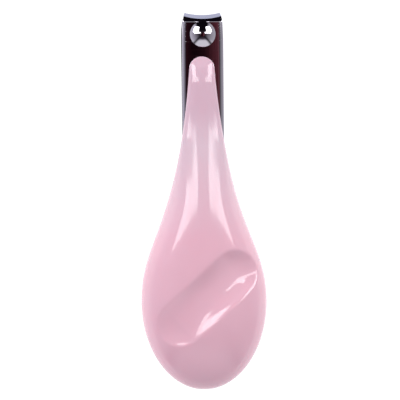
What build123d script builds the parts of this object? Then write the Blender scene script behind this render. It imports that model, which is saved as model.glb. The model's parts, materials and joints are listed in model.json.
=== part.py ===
"""Flip-lever nail clipper with a moulded teardrop grip, folded for storage.

Millimetres. +Y points to the cutting nose, +X to the right when the domed pin head faces the viewer,
+Z out of the grip side. The origin is under the middle of the object, on the surface that it rests on.
"""
import os
from math import cos, radians, sin, sqrt

from build123d import *

# ---------------------------------------------------------------- overall sizes
LENGTH = 96.0             # tail of the grip to the corners of the blades
BULB_WIDTH = 32.0         # widest part of the grip
BULB_AHEAD = 22.6         # from the tail to the widest part
TONGUE_WIDTH = 6.6        # narrow front end of the grip, on the steel
TONGUE_SETBACK = 11.25    # blade corners to the front end of the grip
NECK_HANDLE = 41.0        # how far the outline keeps the tongue's direction
NECK_FLARE = 0.08         # slope of the outline where it leaves the tongue
BULB_HANDLE = 16.0        # how far the outline keeps parallel to the axis at the widest part

# ---------------------------------------------------------------- steel leaves
STRIP_WIDTH = 10.5
STRIP_THICK = 1.1
STRIP_EDGE = 0.8          # rounding of the outer long edges
STRIP_LENGTH = 54.0
STRIP_CORNER = 2.0        # rounded corners at the tail of the strip
NOSE_WIDTH = 9.3
NOSE_TAPER = 3.0          # length over which the strip narrows to the blade
NOSE_FOLD = 2.4           # from the fold to the blade corners
NOSE_DROP = 2.3           # how far the blade reaches inward from the outer face
NOSE_INNER = 1.6          # thickness of the nose behind the blade, along the strip
BLADE_SAGITTA = 0.55      # hollow of the cutting edge
LEAF_SPREAD = 5.0         # degrees between the two leaves when open
LEAF_GAP = 0.05           # gap between the leaves at the tail rivet

# ---------------------------------------------------------------- pivot pin
PIN_SETBACK = 5.6         # blade corners to the pin's axis
PIN_RADIUS = 1.8
PIN_FIT = 0.05            # running clearance in the grip-side leaf, on the radius
PIN_PLAY = 0.45           # clearance in the lever-side leaf, which rocks, on the radius
HEAD_RADIUS = 3.25
HEAD_HEIGHT = 1.6
HEAD_FLOAT = 0.05         # under the head
BAR_RADIUS = 0.65         # cross bar of the lever, in the pin's notch
BAR_FIT = 0.08
BAR_OFFSET = 1.5          # bar's axis ahead of the pin's axis
BAR_STANDOFF = 2.8        # bar's axis beyond the outer face of the lever-side leaf
PIN_END = 1.6             # pin beyond the bar's axis
PIN_CHAMFER = 0.3

# ---------------------------------------------------------------- tail rivet
RIVET_AHEAD = 2.8         # tail of the strip to the rivet
RIVET_RADIUS = 1.25
RIVET_HEAD = 2.1
RIVET_HEAD_THICK = 0.6
RIVET_PLAY = 0.25         # round the rivet in the lever-side leaf, which rocks

# ---------------------------------------------------------------- grip
GRIP_FLOOR = 10.2         # parting face of the bulb
GRIP_HEIGHT = 10.1        # bulb's crown above that face
SEAT = 14.9               # outer face of the grip-side leaf, on which the tongue lies
TONGUE_SINK = 0.3         # tongue's section starts this far below the steel's face, and is cut level with it
WRAP_MARGIN = 0.3         # grip beyond the steel's edge, where it starts to wrap it
TONGUE_HEIGHT = 2.3       # tongue's crown above the steel, just behind its front end
CROWN_AHEAD = 7.4         # from the widest part to where the crown starts to fall to the tongue
CROWN_END = 22.0          # blade corners to where the tongue's crown is level
FLOOR_AHEAD = 22.0        # from the widest part to where the parting face starts to rise to the steel
WALL = 1.9
CROWN_WALL = 3.9          # thicker under the finger groove
GROOVE_ANGLE = 42.5       # degrees from the X axis, seen from the grip side
GROOVE_AHEAD = 22.1       # tail of the grip to the highest point of the groove's floor
GROOVE_ASIDE = -2.2       # that point's place across the grip
GROOVE_TUBE = 7.4         # radius of the groove's section
GROOVE_ARCH = 30.0        # radius of the groove's floor along its length
GROOVE_DEPTH = 1.2        # below the crown, at that point
GROOVE_WALL = 1.3         # least wall under the groove
LEAF_CLEAR = 0.35         # round the steel where it goes into the grip
PLATE_THICK = 1.8
PLATE_FIT = 0.1
GRIP_BRIDGE = 3.0         # solid stretch between the steel's tail and the bulb's hollow
GRIP_ROOF_RUN = 8.0       # over this length from the tail the roof thickens to its full
GRIP_POST_APART = 22.0    # between the two posts that hold the plate up
POST_RADIUS = 1.6         # moulded posts
POST_BITE = 0.5           # posts reach this far into the roof they grow from

DOME_SECTIONS = 33        # sections along a moulded dome
HOLLOW_SECTIONS = 19      # sections along the hollow in it
DOME_TRIM = 0.02          # a dome's outline stops this short of its pointed ends
THIN_EDGE = 0.05          # least height of a hollow's section
OVERSHOOT = 1.0           # cutters reach this far past what they cut

# ---------------------------------------------------------------- lever and its cover
LEVER_THICK = 1.2
LEVER_WIDTH = 9.0
LEVER_FRONT = 1.0         # lever ahead of the bar's axis
LEVER_TAPER = 2.0         # behind the hump, before the lever narrows to the arm
BAR_END = 0.5             # bar's ends inside the lever's sides
LEVER_SLOT_CLEAR = 0.2    # each side of the pin
LEVER_SLOT_BACK = 3.8     # bar's axis to the rear end of the slot
HUMP_BACK = 7.5           # bar's axis to the hump
HUMP_ROUND = 1.6
ARM_BACK = 12.4           # bar's axis to the bend where the arm starts
ARM_LEVEL = 5.0           # middle of the arm above the resting surface
ARM_WIDTH = 5.4
ARM_START = 1.0           # ahead of the bend, where the lever is down to the arm's width
ARM_LENGTH = 42.0
POST_INSET = 4.0          # end of the arm to the first post
POST_APART = 12.0         # between the cover's two posts
COVER_SETBACK = 18.0      # blade corners to the front end of the cover
COVER_INSET = 0.5         # cover's outline inside the grip's outline
COVER_NOSE_WIDTH = 8.8
COVER_GAP = 0.3           # between cover and grip
COVER_NOSE_LOW = 2.6      # front end of the cover, underside
COVER_NOSE_HIGH = 7.4     # front end of the cover, inner side
COVER_FALL_AHEAD = 26.0   # from the widest part to where the cover's inner face starts to fall
COVER_SINK = 0.25         # crown cut off as a flat to rest on
COVER_WALL = 1.9
COVER_HOLLOW_AHEAD = 18.0  # from the widest part to the front end of the cover's hollow
ARM_FIT = 0.05            # round the arm in the cover
DISH_RADIUS = 24.0        # thumb dish in the cover's inner face
DISH_DEPTH = 0.8

# ---------------------------------------------------------------- places worked out from the sizes
TAIL_Y = -LENGTH / 2
NOSE_Y = LENGTH / 2
WIDE_Y = TAIL_Y + BULB_AHEAD
TONGUE_R = TONGUE_WIDTH / 2
TONGUE_Y = NOSE_Y - TONGUE_SETBACK - TONGUE_R     # centre of the tongue's round end
STRIP_TAIL_Y = NOSE_Y - STRIP_LENGTH
PIN_Y = NOSE_Y - PIN_SETBACK
RIVET_Y = STRIP_TAIL_Y + RIVET_AHEAD
LEAF_ROOT_Z = SEAT - STRIP_THICK - LEAF_GAP       # hinge line of the lever-side leaf
BAR_Y = PIN_Y + BAR_OFFSET
COVER_NOSE_Y = NOSE_Y - COVER_SETBACK
COVER_TOP = GRIP_FLOOR - COVER_GAP
COVER_MOUTH_Y = WIDE_Y + COVER_HOLLOW_AHEAD


def leaf_underside(y):
    """Height of the lever-side leaf's outer face at a place along the clipper."""
    slope = radians(LEAF_SPREAD)
    return LEAF_ROOT_Z - (y - STRIP_TAIL_Y) * sin(slope) / cos(slope) - STRIP_THICK / cos(slope)


BAR_Z = leaf_underside(PIN_Y) - BAR_STANDOFF


def smooth(value, low, high):
    """0 below low, 1 above high, with a soft rise between them."""
    share = min(max((value - low) / (high - low), 0.0), 1.0)
    return share * share * (3 - 2 * share)


def grip_half_width(y):
    """Half the width of the teardrop outline: round front, curved flank, elliptical tail."""
    if y >= TONGUE_Y:
        return sqrt(max(TONGUE_R ** 2 - (y - TONGUE_Y) ** 2, 0.0))
    if y <= WIDE_Y:
        return BULB_WIDTH / 2 * sqrt(max(1 - ((y - WIDE_Y) / BULB_AHEAD) ** 2, 0.0))
    along = [TONGUE_Y, TONGUE_Y - NECK_HANDLE, WIDE_Y + BULB_HANDLE, WIDE_Y]
    across = [TONGUE_R, TONGUE_R + NECK_FLARE * NECK_HANDLE, BULB_WIDTH / 2, BULB_WIDTH / 2]
    return bezier(across, bisect(lambda share: bezier(along, share) > y, 0.0, 1.0))


def bezier(values, share):
    """Cubic Bezier of four values."""
    rest = 1 - share
    return (rest ** 3 * values[0] + 3 * rest ** 2 * share * values[1]
            + 3 * rest * share ** 2 * values[2] + share ** 3 * values[3])


def bisect(is_before, low, high):
    """Place where a test that holds at low stops holding on the way to high."""
    for _ in range(40):
        middle = (low + high) / 2
        low, high = (middle, high) if is_before(middle) else (low, middle)
    return low


# where the outline, coming from the bulb, gets nearly as narrow as the steel
WRAP_Y = bisect(lambda y: grip_half_width(y) > STRIP_WIDTH / 2 + WRAP_MARGIN, WIDE_Y, TONGUE_Y)


def grip_floor(y):
    """Lower edge of the grip: on the steel under the tongue, then down to the bulb's parting face."""
    tongue = SEAT - TONGUE_SINK
    return GRIP_FLOOR + (tongue - GRIP_FLOOR) * smooth(y, WIDE_Y + FLOOR_AHEAD, WRAP_Y)


def grip_crown(y):
    """Top of the grip along its middle."""
    top = GRIP_FLOOR + GRIP_HEIGHT
    if y <= WIDE_Y:
        return GRIP_FLOOR + GRIP_HEIGHT * sqrt(max(1 - ((y - WIDE_Y) / BULB_AHEAD) ** 2, 0.0))
    tongue_top = SEAT + TONGUE_HEIGHT
    if y <= TONGUE_Y:
        return top + (tongue_top - top) * smooth(y, WIDE_Y + CROWN_AHEAD, NOSE_Y - CROWN_END)
    return SEAT + TONGUE_HEIGHT * sqrt(max(1 - ((y - TONGUE_Y) / TONGUE_R) ** 2, 0.0))


def half_dome(y, half_width, base, crown):
    """Upright section: a half ellipse on a straight base; crown may lie below base."""
    up = crown > base
    plane = Plane(origin=(0, y, base), x_dir=(1, 0, 0), z_dir=(0, -1, 0))
    height = abs(crown - base)
    arc = EllipticalCenterArc((0, 0), half_width, height, 0 if up else 180, arc_size=180)
    line = Line(arc @ 1, arc @ 0)
    return plane * make_face([arc, line])


def stations(first, last, count):
    """Places along Y, closer together towards both ends."""
    middle, reach = (first + last) / 2, (last - first) / 2
    return [middle - reach * cos(radians(180 * step / (count - 1))) for step in range(count)]


def shell_body(first, last, count, width, base, crown):
    """Solid through half-dome sections between two places, straight from each section to the next."""
    sections = [half_dome(y, width(y), base(y), crown(y)) for y in stations(first, last, count)]
    return loft(sections, ruled=True)


def tapered_plan(width, nose_width):
    """Plan of a steel leaf: rounded tail, straight sides, tapered nose with a hollow cutting edge."""
    side, nose = width / 2, nose_width / 2
    corner, tail, end = STRIP_CORNER, 0.0, STRIP_LENGTH
    outline = [
        Line((-side, end - NOSE_TAPER), (-side, tail + corner)),
        RadiusArc((-side, tail + corner), (-side + corner, tail), corner),
        Line((-side + corner, tail), (side - corner, tail)),
        RadiusArc((side - corner, tail), (side, tail + corner), corner),
        Line((side, tail + corner), (side, end - NOSE_TAPER)),
        Line((side, end - NOSE_TAPER), (nose, end)),
        ThreePointArc((nose, end), (0, end - BLADE_SAGITTA), (-nose, end)),
        Line((-nose, end), (-side, end - NOSE_TAPER)),
    ]
    return make_face(outline)


def steel_leaf():
    """One leaf, lying with its inner face on Z = 0, tail at Y = 0, blade turned down through that face."""
    end, thick = STRIP_LENGTH, STRIP_THICK
    fold_y = end - NOSE_FOLD
    edge_z = thick - NOSE_DROP
    side_view = Plane(origin=(0, 0, 0), x_dir=(0, 1, 0), z_dir=(1, 0, 0)) * make_face(
        Polyline((0, 0), (fold_y - NOSE_INNER, 0), (end - NOSE_INNER, edge_z), (end, edge_z),
                 (fold_y, thick), (0, thick), close=True))
    profile = extrude(side_view, STRIP_WIDTH, both=True)
    plan = extrude(Pos(0, 0, -STRIP_WIDTH) * tapered_plan(STRIP_WIDTH, NOSE_WIDTH), 2 * STRIP_WIDTH)
    bar = Pos(0, end / 2, thick - STRIP_WIDTH / 2) * Box(STRIP_WIDTH, end + 2 * OVERSHOOT, STRIP_WIDTH)
    top_edges = bar.edges().filter_by(Axis.Y).group_by(Axis.Z)[-1]
    return profile & plan & fillet(top_edges, STRIP_EDGE)


def on_grip_side(shape):
    """Places a leaf-shaped solid as the grip-side leaf, outer face up."""
    return Pos(0, STRIP_TAIL_Y, SEAT - STRIP_THICK) * shape


def on_lever_side(shape):
    """Places a leaf-shaped solid as the lever-side leaf, outer face down and spread from its root."""
    turned = mirror(shape, about=Plane.XY)
    return Pos(0, STRIP_TAIL_Y, LEAF_ROOT_Z) * (Rot(-LEAF_SPREAD, 0, 0) * turned)


def upright(radius, low, high, x=0.0, y=0.0):
    """Vertical cylinder between two heights."""
    return Pos(x, y, (low + high) / 2) * Cylinder(radius, high - low)


def make_leaves():
    """Both leaves, with their holes for the pin and the tail rivet."""
    grip_leaf = on_grip_side(steel_leaf())
    grip_leaf -= upright(PIN_RADIUS + PIN_FIT, 0, SEAT + OVERSHOOT, y=PIN_Y)
    grip_leaf -= upright(RIVET_RADIUS, 0, SEAT + OVERSHOOT, y=RIVET_Y)
    lever_leaf = on_lever_side(steel_leaf())
    lever_leaf -= upright(PIN_RADIUS + PIN_PLAY, 0, SEAT, y=PIN_Y)
    lever_leaf -= upright(RIVET_RADIUS + RIVET_PLAY, 0, SEAT, y=RIVET_Y)
    return grip_leaf, lever_leaf


def make_rivet():
    """Tail rivet: flush in the grip-side leaf, a flat head beyond the rocking lever-side leaf."""
    head_top = leaf_underside(RIVET_Y) - RIVET_PLAY
    shank = upright(RIVET_RADIUS, head_top - RIVET_HEAD_THICK, SEAT, y=RIVET_Y)
    head = upright(RIVET_HEAD, head_top - RIVET_HEAD_THICK, head_top, y=RIVET_Y)
    return shank + head


def make_pin():
    """Pivot pin: domed head on the grip side, notch for the lever's bar at the other end."""
    head_base = SEAT + HEAD_FLOAT
    ball = (HEAD_RADIUS ** 2 + HEAD_HEIGHT ** 2) / (2 * HEAD_HEIGHT)
    dome = Pos(0, PIN_Y, head_base + HEAD_HEIGHT - ball) * Sphere(ball)
    dome &= upright(HEAD_RADIUS + OVERSHOOT, head_base, head_base + HEAD_HEIGHT + OVERSHOOT, y=PIN_Y)
    shank = upright(PIN_RADIUS, BAR_Z - PIN_END, head_base + HEAD_HEIGHT / 2, y=PIN_Y)
    shank = chamfer(shank.edges().group_by(Axis.Z)[0], PIN_CHAMFER)
    notch = Pos(0, BAR_Y, BAR_Z) * (Rot(0, 90, 0) * Cylinder(BAR_RADIUS + BAR_FIT, 4 * PIN_RADIUS))
    return dome + shank - notch


def lever_line():
    """Middle line of the stamped lever, from the bar over the hump to the end of the arm, as Y and Z."""
    hump = (BAR_Y - HUMP_BACK, LEVER_THICK / 2)
    bend_y = BAR_Y - ARM_BACK
    return [(BAR_Y, BAR_Z), hump, (bend_y, ARM_LEVEL), (bend_y - ARM_LENGTH, ARM_LEVEL)]


def arm_solid(width, thick):
    """The straight arm alone, so that the cover can be cut to it."""
    bend_y = BAR_Y - ARM_BACK
    return Pos(0, bend_y - ARM_LENGTH / 2, ARM_LEVEL) * Box(width, ARM_LENGTH + 4 * OVERSHOOT, thick)


def make_lever():
    """Stamped lever: cross bar, slot round the pin, hump and arm."""
    start, hump, bend, end = lever_line()
    path = FilletPolyline(start, hump, bend, end, radius=HUMP_ROUND)
    sheet = Plane(origin=(0, 0, 0), x_dir=(0, 1, 0), z_dir=(1, 0, 0)) * trace(path, LEVER_THICK)
    lever = extrude(sheet, LEVER_WIDTH / 2, both=True)
    lever &= Pos(0, 0, -OVERSHOOT) * extrude(lever_plan(), SEAT)
    slot_front = LEVER_FRONT + OVERSHOOT
    slot = Pos(0, BAR_Y + (slot_front - LEVER_SLOT_BACK) / 2, BAR_Z) * Box(
        2 * (PIN_RADIUS + LEVER_SLOT_CLEAR), slot_front + LEVER_SLOT_BACK, 4 * LEVER_THICK)
    bar = Pos(0, BAR_Y, BAR_Z) * (Rot(0, 90, 0) * Cylinder(BAR_RADIUS, LEVER_WIDTH - 2 * BAR_END))
    lever = lever - slot + bar
    for post_y in cover_posts():
        lever -= upright(POST_RADIUS + PLATE_FIT, 0, SEAT, y=post_y)
    return lever


def lever_plan():
    """Plan of the lever: wide over the leaves, narrow inside the cover."""
    wide, narrow = LEVER_WIDTH / 2, ARM_WIDTH / 2
    taper_y, bend_y = BAR_Y - HUMP_BACK - LEVER_TAPER, BAR_Y - ARM_BACK
    rear = bend_y - ARM_LENGTH - OVERSHOOT
    half = [(wide, BAR_Y + LEVER_FRONT), (wide, taper_y), (narrow, bend_y + ARM_START), (narrow, rear)]
    return make_face(Polyline(*half, *[(-x, y) for x, y in reversed(half)], close=True))


def cover_posts():
    """Places of the two moulded posts that hold the arm in the cover."""
    arm_end = BAR_Y - ARM_BACK - ARM_LENGTH
    return [arm_end + POST_INSET, arm_end + POST_INSET + POST_APART]


def slab(low, high):
    """Everything between two heights."""
    return Pos(0, 0, (low + high) / 2) * Box(2 * LENGTH, 2 * LENGTH, high - low)


def grip_hollow(fit=0.0):
    """Space inside the bulb, or with a fit the filling that goes into it."""
    first, last = TAIL_Y + WALL + fit, STRIP_TAIL_Y - GRIP_BRIDGE - fit
    roof = CROWN_WALL + fit

    def crown(y):
        """Roof of the hollow, which thickens to its full from the tail."""
        return max(grip_crown(y) - roof * min(1, (y - TAIL_Y) / GRIP_ROOF_RUN), GRIP_FLOOR + THIN_EDGE)

    def width(y):
        """Half the width of the hollow."""
        return grip_half_width(y) - WALL - fit

    return shell_body(first, last, HOLLOW_SECTIONS, width, lambda y: GRIP_FLOOR, crown)


def make_grip():
    """Grip in two mouldings: domed shell with the finger groove, and the plate that closes the bulb."""
    tip_y = TONGUE_Y + TONGUE_R - DOME_TRIM
    dome = shell_body(TAIL_Y + DOME_TRIM, tip_y, DOME_SECTIONS, grip_half_width, grip_floor, grip_crown)
    swing_room = SEAT - STRIP_THICK
    pocket_back = STRIP_TAIL_Y - LEAF_CLEAR
    pocket = Pos(0, (pocket_back + NOSE_Y) / 2, swing_room / 2) * Box(
        STRIP_WIDTH + 2 * LEAF_CLEAR, NOSE_Y - pocket_back, swing_room)
    seat = Pos(0, STRIP_TAIL_Y + STRIP_LENGTH / 2, SEAT - STRIP_THICK) * Box(
        STRIP_WIDTH, STRIP_LENGTH, 2 * STRIP_THICK)
    shell = dome - (grip_hollow() - make_groove(GROOVE_WALL))
    plate = (grip_hollow(PLATE_FIT) - make_groove(GROOVE_WALL + PLATE_FIT)) & slab(
        GRIP_FLOOR, GRIP_FLOOR + PLATE_THICK)
    for post_y in (WIDE_Y - GRIP_POST_APART / 2, WIDE_Y + GRIP_POST_APART / 2):
        roof = grip_crown(post_y) - CROWN_WALL + POST_BITE
        shell += upright(POST_RADIUS, GRIP_FLOOR + PLATE_THICK, roof, y=post_y)
    tongue_seat = Pos(0, (WRAP_Y + NOSE_Y) / 2, SEAT / 2) * Box(2 * BULB_WIDTH, NOSE_Y - WRAP_Y, SEAT)
    shell = shell - pocket - seat - tongue_seat - make_groove()
    return shell, plate


def make_groove(wall=0.0):
    """Cutter for the diagonal finger groove, or with a wall the space kept full under it.

    It is part of a ring that arches over the crown.
    """
    ring = GROOVE_ARCH + GROOVE_TUBE
    crown = grip_crown(TAIL_Y + GROOVE_AHEAD)
    centre_z = crown - GROOVE_DEPTH - GROOVE_ARCH
    tube = Rot(0, 0, GROOVE_ANGLE) * (Rot(90, 0, 0) * Torus(ring, GROOVE_TUBE + wall))
    return Pos(GROOVE_ASIDE, TAIL_Y + GROOVE_AHEAD, centre_z) * tube


def cover_half_width(y):
    """Half the width of the cover: a narrow sleeve in front, the grip's outline less a margin behind."""
    sleeve = COVER_NOSE_WIDTH / 2
    follow = grip_half_width(y) - COVER_INSET
    return max(sleeve, follow) if y > WIDE_Y else follow


def cover_top(y):
    """Inner face of the cover: just clear of the grip, and lower under the steel and its rivet."""
    falling = COVER_TOP + (COVER_NOSE_HIGH - COVER_TOP) * smooth(y, WIDE_Y + COVER_FALL_AHEAD, COVER_NOSE_Y)
    return min(falling, leaf_underside(y) - RIVET_PLAY - RIVET_HEAD_THICK - COVER_GAP)


def cover_bottom(y):
    """Outer crown of the cover, before the flat is cut."""
    depth = COVER_TOP + COVER_SINK
    if y <= WIDE_Y:
        reach = BULB_AHEAD - COVER_INSET
        return COVER_TOP - depth * sqrt(max(1 - ((y - WIDE_Y) / reach) ** 2, 0.0))
    return -COVER_SINK + (COVER_NOSE_LOW + COVER_SINK) * smooth(y, WIDE_Y, COVER_NOSE_Y)


def cover_hollow(fit=0.0):
    """Space inside the cover, or with a fit the filling that goes into it."""
    first, last = TAIL_Y + COVER_INSET + COVER_WALL + fit, COVER_MOUTH_Y - fit
    floor = COVER_WALL + COVER_SINK + fit

    def bottom(y):
        """Floor of the hollow."""
        return min(cover_bottom(y) + floor, COVER_TOP - THIN_EDGE)

    def width(y):
        """Half the width of the hollow."""
        return cover_half_width(y) - COVER_WALL - fit

    return shell_body(first, last, HOLLOW_SECTIONS, width, lambda y: COVER_TOP, bottom)


def make_cover():
    """Lever cover in two mouldings: crowned shell and the plate with the thumb dish."""
    tail_y = TAIL_Y + COVER_INSET + DOME_TRIM
    body = shell_body(tail_y, COVER_NOSE_Y, DOME_SECTIONS, cover_half_width, cover_top, cover_bottom)
    body &= slab(0, LENGTH)
    arm_slot = arm_solid(ARM_WIDTH + 2 * ARM_FIT, LEVER_THICK + 2 * ARM_FIT)
    shell = body - cover_hollow() - arm_slot
    plate = cover_hollow(PLATE_FIT) & slab(COVER_TOP - PLATE_THICK, COVER_TOP)
    plate -= Pos(0, WIDE_Y, COVER_TOP + DISH_RADIUS - DISH_DEPTH) * Sphere(DISH_RADIUS)
    for post_y in cover_posts():
        floor = cover_bottom(post_y) + COVER_WALL / 2
        shell += upright(POST_RADIUS, floor, COVER_TOP - PLATE_THICK - PLATE_FIT, y=post_y)
    return shell, plate


def main():
    """Builds every node and writes each to its own STEP file."""
    grip_leaf, lever_leaf = make_leaves()
    grip_shell, grip_plate = make_grip()
    cover_shell, thumb_plate = make_cover()
    nodes = {
        "grip_leaf": grip_leaf,
        "lever_leaf": lever_leaf,
        "tail_rivet": make_rivet(),
        "pivot_pin": make_pin(),
        "lever": make_lever(),
        "grip_shell": grip_shell,
        "grip_plate": grip_plate,
        "lever_cover": cover_shell,
        "thumb_plate": thumb_plate,
    }
    os.makedirs("parts", exist_ok=True)
    for name, shape in nodes.items():
        export_step(shape, os.path.join("parts", name + ".step"))
        print(name, round(shape.volume, 1), shape.is_valid)


main()
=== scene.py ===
"""Flip-lever nail clipper with a moulded teardrop grip, dressed for a studio picture.

Lengths in the classes are millimetres and become metres when a mesh is made. The clipper lies on its lever
cover with the nose towards +Y and the domed pin head facing up.
"""

from __future__ import annotations

import json
import logging
from dataclasses import dataclass, field
from enum import Enum
from math import cos, pi, radians, sin, sqrt
from typing import Callable, Iterable, Sequence

import bmesh
import bpy
from mathutils import Matrix, Vector


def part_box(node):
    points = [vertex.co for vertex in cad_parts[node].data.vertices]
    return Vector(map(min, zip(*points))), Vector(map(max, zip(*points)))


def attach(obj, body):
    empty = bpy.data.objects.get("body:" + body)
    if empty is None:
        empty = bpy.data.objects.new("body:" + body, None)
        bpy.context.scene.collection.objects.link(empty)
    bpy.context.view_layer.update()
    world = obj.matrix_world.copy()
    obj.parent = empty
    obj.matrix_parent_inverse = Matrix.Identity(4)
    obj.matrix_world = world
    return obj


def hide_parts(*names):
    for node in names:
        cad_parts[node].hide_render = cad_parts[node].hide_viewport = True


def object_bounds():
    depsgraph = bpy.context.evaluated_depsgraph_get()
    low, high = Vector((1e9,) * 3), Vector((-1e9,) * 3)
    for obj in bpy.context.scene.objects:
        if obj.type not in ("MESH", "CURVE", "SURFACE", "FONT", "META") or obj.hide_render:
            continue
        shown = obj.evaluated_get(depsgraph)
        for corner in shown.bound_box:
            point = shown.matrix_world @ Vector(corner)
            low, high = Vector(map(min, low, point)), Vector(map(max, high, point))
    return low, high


MM = 0.001
CRISP = 32.0
CRISP_TURNED = 40.0
CRISP_STEEL = 24.0
CRISP_MOULDED = 38.0
BULB_REACH = 22.6
TONGUE_RADIUS = 3.3
SEAM = 0.1
RIM = 1.9
Pair = tuple[float, float]
Point = tuple[float, float, float]
Colour = tuple[float, float, float, float]
Piece = bpy.types.Object
Finish = bpy.types.Material
Line = Callable[[float], float]
Relief = Callable[[float, float], float]

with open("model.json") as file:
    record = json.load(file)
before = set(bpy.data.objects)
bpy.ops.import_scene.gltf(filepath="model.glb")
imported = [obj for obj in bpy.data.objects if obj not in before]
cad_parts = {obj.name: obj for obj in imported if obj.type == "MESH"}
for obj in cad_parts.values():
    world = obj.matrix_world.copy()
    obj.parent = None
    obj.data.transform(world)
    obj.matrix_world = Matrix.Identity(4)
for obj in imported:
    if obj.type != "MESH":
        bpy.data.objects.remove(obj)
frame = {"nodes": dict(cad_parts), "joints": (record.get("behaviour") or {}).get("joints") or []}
CAD_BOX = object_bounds()
log = logging.getLogger("clipper")


# ------------------------------------------- shaping helpers
def node_box(node: str) -> tuple[Vector, Vector]:
    """Lowest and highest corner of a CAD node, in millimetres."""
    low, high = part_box(node)
    return Vector(low) / MM, Vector(high) / MM


def joint_place(joint: str) -> Pair:
    """Y and Z of a joint, in millimetres."""
    place = next(j["pos_m"] for j in frame["joints"] if j["name"] == joint)
    return place[1] / MM, place[2] / MM


def soft_step(value: float, low: float, high: float) -> float:
    """0 below low, 1 above high, with a soft rise between them."""
    share = min(max((value - low) / (high - low), 0.0), 1.0)
    return share * share * (3 - 2 * share)


def soft_max(first: float, second: float, blend: float) -> float:
    """The larger of two values, rounded where they cross.

    Args:
        first: one value.
        second: the other value.
        blend: width of the rounded crossing.

    Returns:
        A value no smaller than either.
    """
    gap = first - second
    return (first + second + sqrt(gap * gap + blend * blend)) / 2


def bezier(values: Sequence[float], share: float) -> float:
    """Cubic Bezier of four values."""
    rest = 1 - share
    return (rest**3 * values[0] + 3 * rest**2 * share * values[1]
            + 3 * rest * share**2 * values[2] + share**3 * values[3])


def crowded(first: float, last: float, count: int) -> list[float]:
    """Places between two ends, crowded towards both of them."""
    middle, reach = (first + last) / 2, (last - first) / 2
    return [middle - reach * cos(pi * step / (count - 1)) for step in range(count)]


def even(first: float, last: float, count: int) -> list[float]:
    """Evenly spaced values from first to last."""
    return [first + (last - first) * step / (count - 1) for step in range(count)]


def mesh_object(name: str, points: Iterable[Point], faces: Iterable[Sequence[int]],
                sharp: float = CRISP) -> Piece:
    """Makes an object from points in millimetres.

    Args:
        name: the object's name.
        points: its vertices.
        faces: vertex numbers of each face.
        sharp: turn of a crisp edge, in degrees.

    Returns:
        The linked object, with outward normals and smooth shading.
    """
    mesh = bpy.data.meshes.new(name)
    mesh.from_pydata([tuple(c * MM for c in point) for point in points], [], [tuple(f) for f in faces])
    work = bmesh.new()
    work.from_mesh(mesh)
    bmesh.ops.remove_doubles(work, verts=work.verts, dist=1e-7)
    bmesh.ops.dissolve_degenerate(work, edges=work.edges, dist=1e-7)
    bmesh.ops.recalc_face_normals(work, faces=work.faces)
    work.to_mesh(mesh)
    work.free()
    obj = bpy.data.objects.new(name, mesh)
    bpy.context.scene.collection.objects.link(obj)
    smooth(obj, sharp)
    return obj


def smooth(obj: Piece, sharp: float) -> None:
    """Shades an object smooth and keeps edges over an angle in degrees crisp."""
    obj.data.polygons.foreach_set("use_smooth", [True] * len(obj.data.polygons))
    obj.data.set_sharp_from_angle(angle=radians(sharp))


def ring_skin(name: str, rings: Sequence[Sequence[Point]], sharp: float = CRISP) -> Piece:
    """Joins closed rings of equal length into one skin, capped at both ends.

    Args:
        name: the object's name.
        rings: the rings, in order along the piece.
        sharp: turn of a crisp edge, in degrees.

    Returns:
        The new object.
    """
    size = len(rings[0])
    points = [point for ring in rings for point in ring]
    faces: list[list[int]] = []
    for step in range(len(rings) - 1):
        here, there = step * size, (step + 1) * size
        for side in range(size):
            turn = (side + 1) % size
            faces.append([here + side, here + turn, there + turn, there + side])
    faces.append(list(range(size))[::-1])
    faces.append(list(range((len(rings) - 1) * size, len(rings) * size)))
    return mesh_object(name, points, faces, sharp)


def combine(obj: Piece, tool: Piece, operation: str, sharp: float = CRISP) -> None:
    """Cuts or joins a tool into an object for good, and removes the tool.

    Args:
        obj: the piece that is changed.
        tool: the cutter or the addition.
        operation: DIFFERENCE or UNION.
        sharp: turn of a crisp edge, in degrees.
    """
    step = obj.modifiers.new("combine", "BOOLEAN")
    step.operation, step.object, step.solver = operation, tool, "EXACT"
    bpy.context.view_layer.update()
    graph = bpy.context.evaluated_depsgraph_get()
    result = bpy.data.meshes.new_from_object(obj.evaluated_get(graph))
    obj.modifiers.clear()
    obj.data = result
    bpy.data.objects.remove(tool)
    smooth(obj, sharp)


def block(low: Point, high: Point) -> Piece:
    """Box-shaped cutter between two corners, in millimetres."""
    corners = [(x, y, z) for z in (low[2], high[2]) for x, y in
               ((low[0], low[1]), (high[0], low[1]), (high[0], high[1]), (low[0], high[1]))]
    return ring_skin("cutter", [corners[:4], corners[4:]])


def lathe(name: str, profile: Sequence[Pair], place: Point, steps: int = 96) -> Piece:
    """Turns a profile round an upright axis.

    Args:
        name: the object's name.
        profile: radius and height pairs from the lowest point to the highest.
        place: the axis's foot.
        steps: sides of the turned piece.

    Returns:
        The new object.
    """
    rings = [[(place[0] + r * cos(2 * pi * k / steps), place[1] + r * sin(2 * pi * k / steps), place[2] + z)
              for k in range(steps)] for r, z in profile]
    return ring_skin(name, rings, CRISP_TURNED)


def bar_between(radius: float, reach: float, y: float, z: float, round_end: float = 0.0,
                steps: int = 48) -> Piece:
    """Round bar along X, centred on the middle plane, with eased ends.

    Args:
        radius: its radius.
        reach: half its length.
        y: place of its axis along the clipper.
        z: height of its axis.
        round_end: size of the chamfer at both ends.
        steps: sides of the bar.

    Returns:
        The new object.
    """
    stops = [(-reach, radius - round_end), (-reach + round_end, radius), (reach - round_end, radius),
             (reach, radius - round_end)]
    rings = [[(x, y + r * cos(2 * pi * k / steps), z + r * sin(2 * pi * k / steps)) for k in range(steps)]
             for x, r in stops]
    return ring_skin("bar", rings, CRISP_TURNED)


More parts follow.
